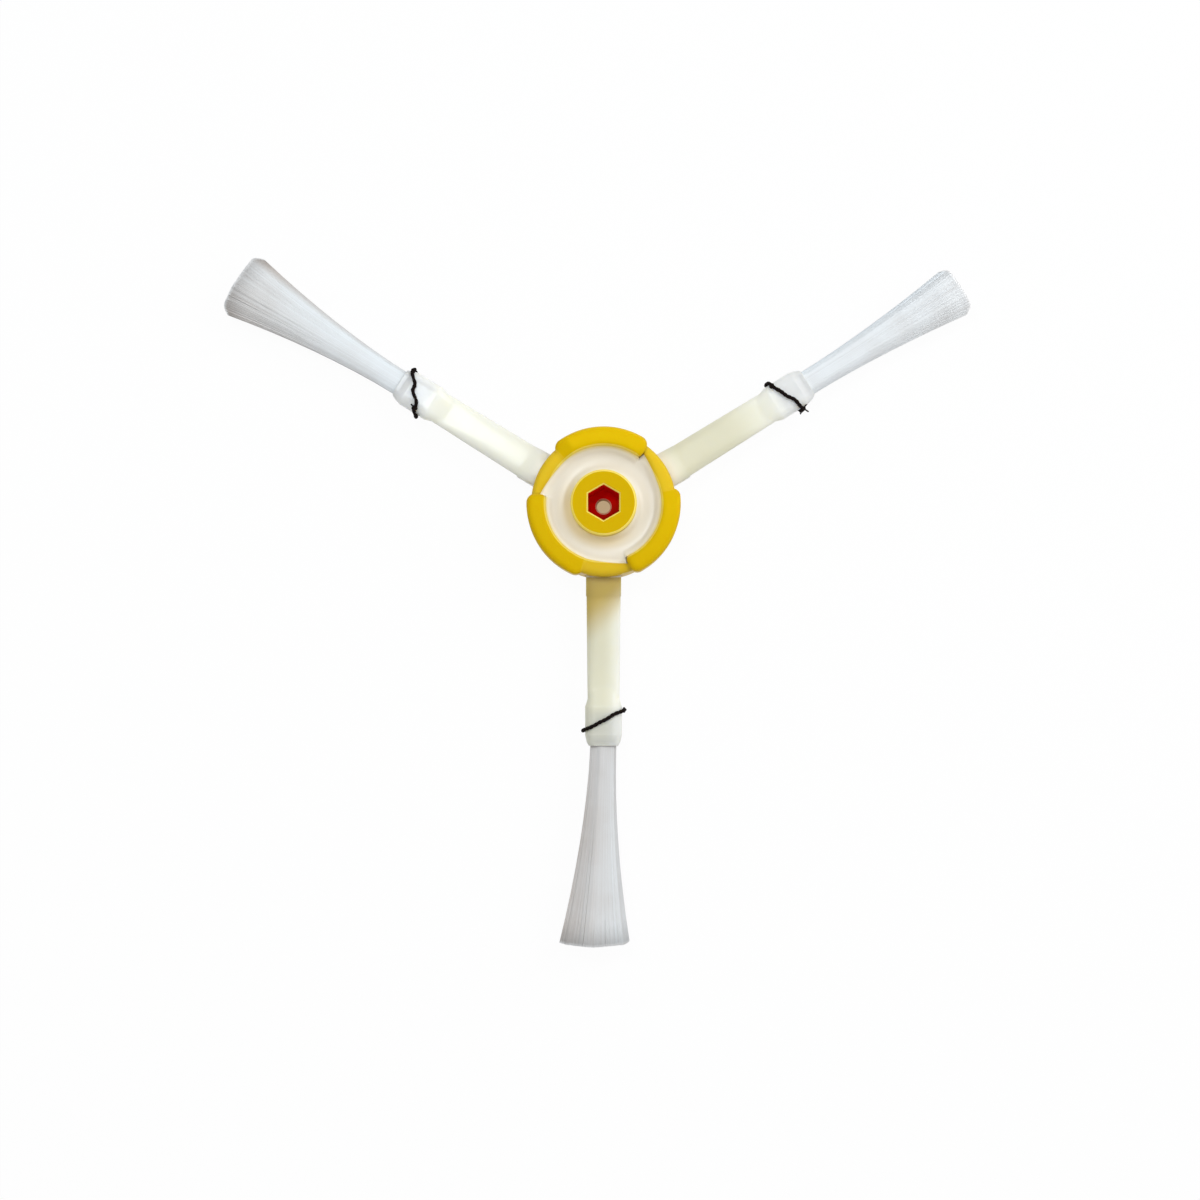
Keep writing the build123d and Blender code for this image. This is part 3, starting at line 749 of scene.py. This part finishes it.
def tuft_grey_and_shade(section, index):
    """Grey of lines along a tuft from places across its root: line, station, with painted shade across the
    tuft and along one edge, and painted light along another.
    """
    stations = np.linspace(0.0, 1.0, FILAMENT_STATIONS)
    across = section[:, 0, None] / (TUFT_ROOT_WIDTH / 2)
    grey = GREY_ROOTS[index] + (GREY_TIPS[index] - GREY_ROOTS[index]) * stations ** GREY_TIP_POWER
    # Painted shade across the tuft and along one edge, and painted light along the other edge
    edge = np.clip((-across - PAINTED_SHADE_EDGE_START) / (1 - PAINTED_SHADE_EDGE_START), 0, 1)
    lit = GREY_LIT_EDGES[index] * np.clip(across, 0, 1) ** GREY_LIT_POWER
    painted_side_shade = PAINTED_SHADE_ACROSS[index] * across + PAINTED_SHADE_EDGES[index] * edge
    return grey + lit + painted_side_shade * stations ** PAINTED_SHADE_POWER


def bristle_tuft(index, material):
    """One tuft: filaments that fan out round a core, and the fused root in the arm's pocket."""
    chance = np.random.default_rng(TUFT_SEED + index)
    stations = np.linspace(0.0, 1.0, FILAMENT_STATIONS)
    parts = MeshParts()
    section, lines = filament_lines(index, chance)
    points, faces = filament_tubes(lines, index)
    grey = tuft_grey_and_shade(section, index) + chance.normal(0, GREY_SPREAD, (len(section), 1))
    grey = np.repeat(grey.ravel(), FILAMENT_SIDES)
    along = np.tile(np.repeat(stations, FILAMENT_SIDES), len(lines))
    parts.add(points, faces, np.stack([grey, along], axis=1))
    section, points, faces = bundle_core(index)
    grey = tuft_grey_and_shade(section, index) + chance.normal(0, GREY_SPREAD, (len(section), 1))
    parts.add(points, faces, np.stack([grey.T.ravel(), np.zeros(len(points))], axis=1))
    points, faces = root_plug()
    parts.add(points, faces, np.full((len(points), 2), GREY_ROOTS[index]))
    points = to_row_frame(parts.all_points(), index)
    piece = new_piece(f"tuft_filaments_{index + 1}", points, parts.faces, material)
    float_layer(piece, "grey", parts.all_layers()[:, 0])
    float_layer(piece, "along", parts.all_layers()[:, 1])
    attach(piece, "root")
    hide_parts(f"bristle_tuft_{index + 1}")


def swept_tube(path, radius, sides, closed):
    """Points and faces of a round tube along a path of points."""
    if closed:
        tangents = np.roll(path, -1, axis=0) - np.roll(path, 1, axis=0)
    else:
        tangents = np.gradient(path, axis=0)
    tangents /= np.linalg.norm(tangents, axis=1)[:, None]
    first = np.cross(tangents, TUBE_GUIDE)
    first /= np.linalg.norm(first, axis=1)[:, None]
    second = np.cross(tangents, first)
    turn = np.arange(sides)[:, None] * 2 * pi / sides
    rings = first[:, None, :] * np.cos(turn) + second[:, None, :] * np.sin(turn)
    points = (path[:, None, :] + radius * rings).reshape(-1, 3)
    count = len(path)
    faces = []
    for step in range(count if closed else count - 1):
        faces += band(step * sides, (step + 1) % count * sides, sides)
    if not closed:
        faces += [tuple(reversed(range(sides))), tuple(range((count - 1) * sides, count * sides))]
    return points, faces


def ferrule_inset(distance):
    """How far the arm end is drawn in at a distance from the hub's wall."""
    return np.interp(distance, (SLEEVE_END, SHOULDER_END, ARM_TIP), (0.0, SHOULDER_INSET, TIP_INSET))


def ferrule_section(count):
    """Evenly spaced points round the section of an arm end, as across and up, and the outward directions."""
    flat_width = FERRULE_WIDTH / 2 - FERRULE_EDGE_RADIUS
    flat_height = FERRULE_THICKNESS / 2 - FERRULE_EDGE_RADIUS
    angles = np.radians(np.arange(0, 360 + SECTION_STEP, SECTION_STEP))
    outward = np.stack([np.cos(angles), np.sin(angles)], axis=1)
    points = outward * FERRULE_EDGE_RADIUS + np.sign(outward) * (flat_width, flat_height)
    lengths = np.concatenate([[0.0], np.cumsum(np.linalg.norm(np.diff(points, axis=0), axis=1))])
    even = np.linspace(0, lengths[-1], count, endpoint=False)
    section = np.stack([np.interp(even, lengths, points[:, side]) for side in (0, 1)], axis=1)
    directions = np.stack([np.interp(even, lengths, outward[:, side]) for side in (0, 1)], axis=1)
    return section, directions


def thread_line(index, chance):
    """Middle line of a thread round an arm end, and the directions out of the arm along it."""
    section, outward = ferrule_section(THREAD_POINTS)
    turn = np.arange(THREAD_POINTS) * 2 * pi / THREAD_POINTS
    waves = np.zeros(THREAD_POINTS)
    for count in THREAD_WAVE_COUNTS:
        waves += chance.normal(0, THREAD_WAVE_SPREAD) * np.sin(count * turn + chance.uniform(0, 2 * pi))
    line = np.zeros((THREAD_POINTS, 3))
    line[:, 0] = THREAD_PLACES[index] - section[:, 0] * tan(radians(THREAD_SLANTS[index]))
    line[:, 0] += THREAD_WAVES[index] * waves
    lift = STRAND_TWIST_RADIUS + STRAND_RADIUS - ferrule_inset(line[:, 0])
    line[:, 1:] = section + outward * lift[:, None]
    directions = np.zeros((THREAD_POINTS, 3))
    directions[:, 1:] = outward
    return line, directions


def knot_line(middle, size, chance):
    """Line of a small tight overhand knot, leaning at random."""
    turn = np.arange(KNOT_POINTS) * 2 * pi / KNOT_POINTS
    knot = np.stack([np.sin(turn) + 2 * np.sin(2 * turn), np.cos(turn) - 2 * np.cos(2 * turn),
                     -KNOT_DEPTH * np.sin(3 * turn)], axis=1)
    lean = np.array(Matrix.Rotation(chance.uniform(0, 2 * pi), 3, Vector(chance.normal(0, 1, 3))))
    return middle + knot @ lean * (size - KNOT_STRAND_RADIUS) / KNOT_REACH


def tail_line(middle, turn):
    """Line of a loose tail that sticks out of a knot and hangs down a little."""
    reach = np.linspace(0, TAIL_LENGTH, TAIL_POINTS)[:, None]
    direction = np.array((cos(radians(turn)), sin(radians(turn)), 0.0))
    sag = np.array((0.0, 0.0, TAIL_SAG))
    return middle + reach * direction - sag * reach ** 2


def retaining_thread(index, material):
    """One thread: two twisted strands round the arm end, with its knots and tails."""
    chance = np.random.default_rng(THREAD_SEED + index)
    line, outward = thread_line(index, chance)
    parts = MeshParts()
    twist = np.arange(THREAD_POINTS) * 2 * pi * STRAND_TURNS / THREAD_POINTS
    sideways = np.array((1.0, 0.0, 0.0))
    for strand in (0.0, pi):
        swing = np.cos(twist + strand)[:, None] * outward + np.sin(twist + strand)[:, None] * sideways
        parts.add(*swept_tube(line + STRAND_TWIST_RADIUS * swing, STRAND_RADIUS, STRAND_SIDES, True))
    upper = line[line[:, 2] > 0]
    for place, size, tails in KNOTS[index]:
        middle = upper[np.argmin(np.abs(upper[:, 1] - place))]
        parts.add(*swept_tube(knot_line(middle, size, chance), KNOT_STRAND_RADIUS, STRAND_SIDES, True))
        for turn in tails:
            parts.add(*swept_tube(tail_line(middle, turn), TAIL_RADIUS, STRAND_SIDES, False))
    points = to_row_frame(parts.all_points(), index)
    piece = new_piece(f"thread_strands_{index + 1}", points, parts.faces, material)
    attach(piece, "root")
    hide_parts(f"retaining_thread_{index + 1}")


def make_camera():
    """A camera above the hub that puts the boss where the photo has it."""
    camera = bpy.data.cameras.new("camera")
    camera.sensor_width = SENSOR_WIDTH
    camera.lens = SENSOR_WIDTH * FOCAL_PIXELS / IMAGE_PIXELS
    camera.clip_start = CAMERA_NEAR_LIMIT * MM
    tilt = radians(CAMERA_TILT)
    forward = Vector((0, sin(tilt), -cos(tilt)))
    up = Vector((0, cos(tilt), sin(tilt)))
    right = Vector((1, 0, 0))
    across = (BOSS_PIXEL[0] - IMAGE_PIXELS / 2) / FOCAL_PIXELS
    upwards = (IMAGE_PIXELS / 2 - BOSS_PIXEL[1]) / FOCAL_PIXELS
    ray = forward + right * across + up * upwards
    holder = bpy.data.objects.new("camera", camera)
    holder.location = (Vector((0, 0, BOSS_TOP)) - ray * CAMERA_DISTANCE) * MM
    holder.rotation_euler = (tilt, 0, 0)
    bpy.context.scene.collection.objects.link(holder)
    bpy.context.scene.camera = holder


def make_world():
    """White surroundings that light from overhead, a little to one side, and look plain white."""
    world = bpy.data.worlds.new("studio")
    world.use_nodes = True
    tree = world.node_tree
    direction = tree.nodes.new("ShaderNodeTexCoord").outputs["Generated"]
    side = tree.nodes.new("ShaderNodeVectorMath")
    side.operation = "DOT_PRODUCT"
    side.inputs[1].default_value = WORLD_BRIGHT_SIDE
    tree.links.new(direction, side.inputs[0])
    strength = tree.nodes.new("ShaderNodeMath")
    strength.operation = "MULTIPLY_ADD"
    strength.inputs[1].default_value = WORLD_STRENGTH * WORLD_SLOPE
    strength.inputs[2].default_value = WORLD_STRENGTH
    tree.links.new(side.outputs["Value"], strength.inputs[0])
    background = tree.nodes["Background"]
    background.inputs["Color"].default_value = (1, 1, 1, 1)
    above_zero = tree.nodes.new("ShaderNodeMath")
    above_zero.operation = "MAXIMUM"
    above_zero.inputs[1].default_value = 0.0
    tree.links.new(strength.outputs[0], above_zero.inputs[0])
    tree.links.new(above_zero.outputs[0], background.inputs["Strength"])
    plain = tree.nodes.new("ShaderNodeBackground")
    plain.inputs["Color"].default_value = (1, 1, 1, 1)
    plain.inputs["Strength"].default_value = 1.0
    path = tree.nodes.new("ShaderNodeLightPath")
    seen = path.outputs["Is Camera Ray"]
    for kind in ("Is Glossy Ray", "Is Transmission Ray"):
        either = tree.nodes.new("ShaderNodeMath")
        either.operation = "MAXIMUM"
        tree.links.new(seen, either.inputs[0])
        tree.links.new(path.outputs[kind], either.inputs[1])
        seen = either.outputs[0]
    blend = tree.nodes.new("ShaderNodeMixShader")
    tree.links.new(seen, blend.inputs["Fac"])
    tree.links.new(background.outputs[0], blend.inputs[1])
    tree.links.new(plain.outputs[0], blend.inputs[2])
    tree.links.new(blend.outputs[0], tree.nodes["World Output"].inputs["Surface"])
    bpy.context.scene.world = world


def area_light(name, place, size, power, colour):
    """A rectangular lamp that faces straight down until it is turned."""
    lamp = bpy.data.lights.new(name, "AREA")
    lamp.shape = "RECTANGLE"
    lamp.size = size[0] * MM
    lamp.size_y = size[1] * MM
    lamp.energy = power
    lamp.color = colour
    holder = bpy.data.objects.new(name, lamp)
    holder.location = Vector(place) * MM
    bpy.context.scene.collection.objects.link(holder)
    return holder


def make_lights():
    """The key lamp, turned to the hub, and the window overhead."""
    key = area_light("key", KEY_PLACE, (KEY_SIZE, KEY_SIZE), KEY_POWER, (1, 1, 1))
    key.rotation_euler = (-Vector(KEY_PLACE)).to_track_quat("-Z", "Y").to_euler()
    window = area_light("window", WINDOW_PLACE, WINDOW_SIZE, WINDOW_POWER, WINDOW_COLOUR)
    window.rotation_euler = (0, 0, radians(WINDOW_TURN))


def floor_paint():
    """White floor that keeps a soft shadow, looks plain white and has a painted shade in its glow under the
    screw hole.
    """
    shader = Shader("floor_paint")
    speck = shader.noise(FLOOR_SPECK)
    shader.set(Base_Color=shader.mix(speck, *FLOOR_GREYS), Roughness=FLOOR_ROUGHNESS, Specular_IOR_Level=0.0)
    radius = shader.places()[3]
    # Painted shade: the glow turns beige-brown under the screw hole
    painted_shade = shader.math("LESS_THAN", radius, HOLE_PAINTED_SHADE_RADIUS)
    path = shader.node("ShaderNodeLightPath")
    seen = shader.math("MAXIMUM", path.outputs["Is Camera Ray"], path.outputs["Is Glossy Ray"])
    seen = shader.math("MAXIMUM", seen, path.outputs["Is Transmission Ray"])
    glow = shader.node("ShaderNodeEmission")
    shader.link(shader.mix(painted_shade, (1, 1, 1, 1), HOLE_PAINTED_SHADE), glow.inputs["Color"])
    glow.inputs["Strength"].default_value = 1.0
    blend = shader.node("ShaderNodeMixShader")
    shader.link(shader.math("MULTIPLY", seen, FLOOR_GLOW), blend.inputs["Fac"])
    shader.link(shader.surface.outputs["BSDF"], blend.inputs[1])
    shader.link(glow.outputs["Emission"], blend.inputs[2])
    shader.link(blend.outputs["Shader"], shader.tree.nodes["Material Output"].inputs["Surface"])
    return shader.material


def make_floor(height):
    """A square floor round the axis at a height in metres."""
    far = FLOOR_REACH * MM
    corners = [(-far, -far, height), (far, -far, height), (far, far, height), (-far, far, height)]
    new_piece("floor", np.array(corners), [(0, 1, 2, 3)], floor_paint(), smooth=False)


def dress_node(name, material):
    """Give a CAD node its material."""
    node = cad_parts[name]
    node.data.materials.clear()
    node.data.materials.append(material)


cad_low, cad_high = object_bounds()
dress_node("hub", hub_plastic())
dress_node("arm_spider", soft_white())
web_skin(web_skin_white())
filament_material = filament()
thread_material = black_thread()
for arm in range(len(ARM_ANGLES)):
    bristle_tuft(arm, filament_material)
    retaining_thread(arm, thread_material)

make_camera()
make_world()
make_lights()
make_floor(cad_low.z)
bpy.context.scene.view_settings.view_transform = "Standard"
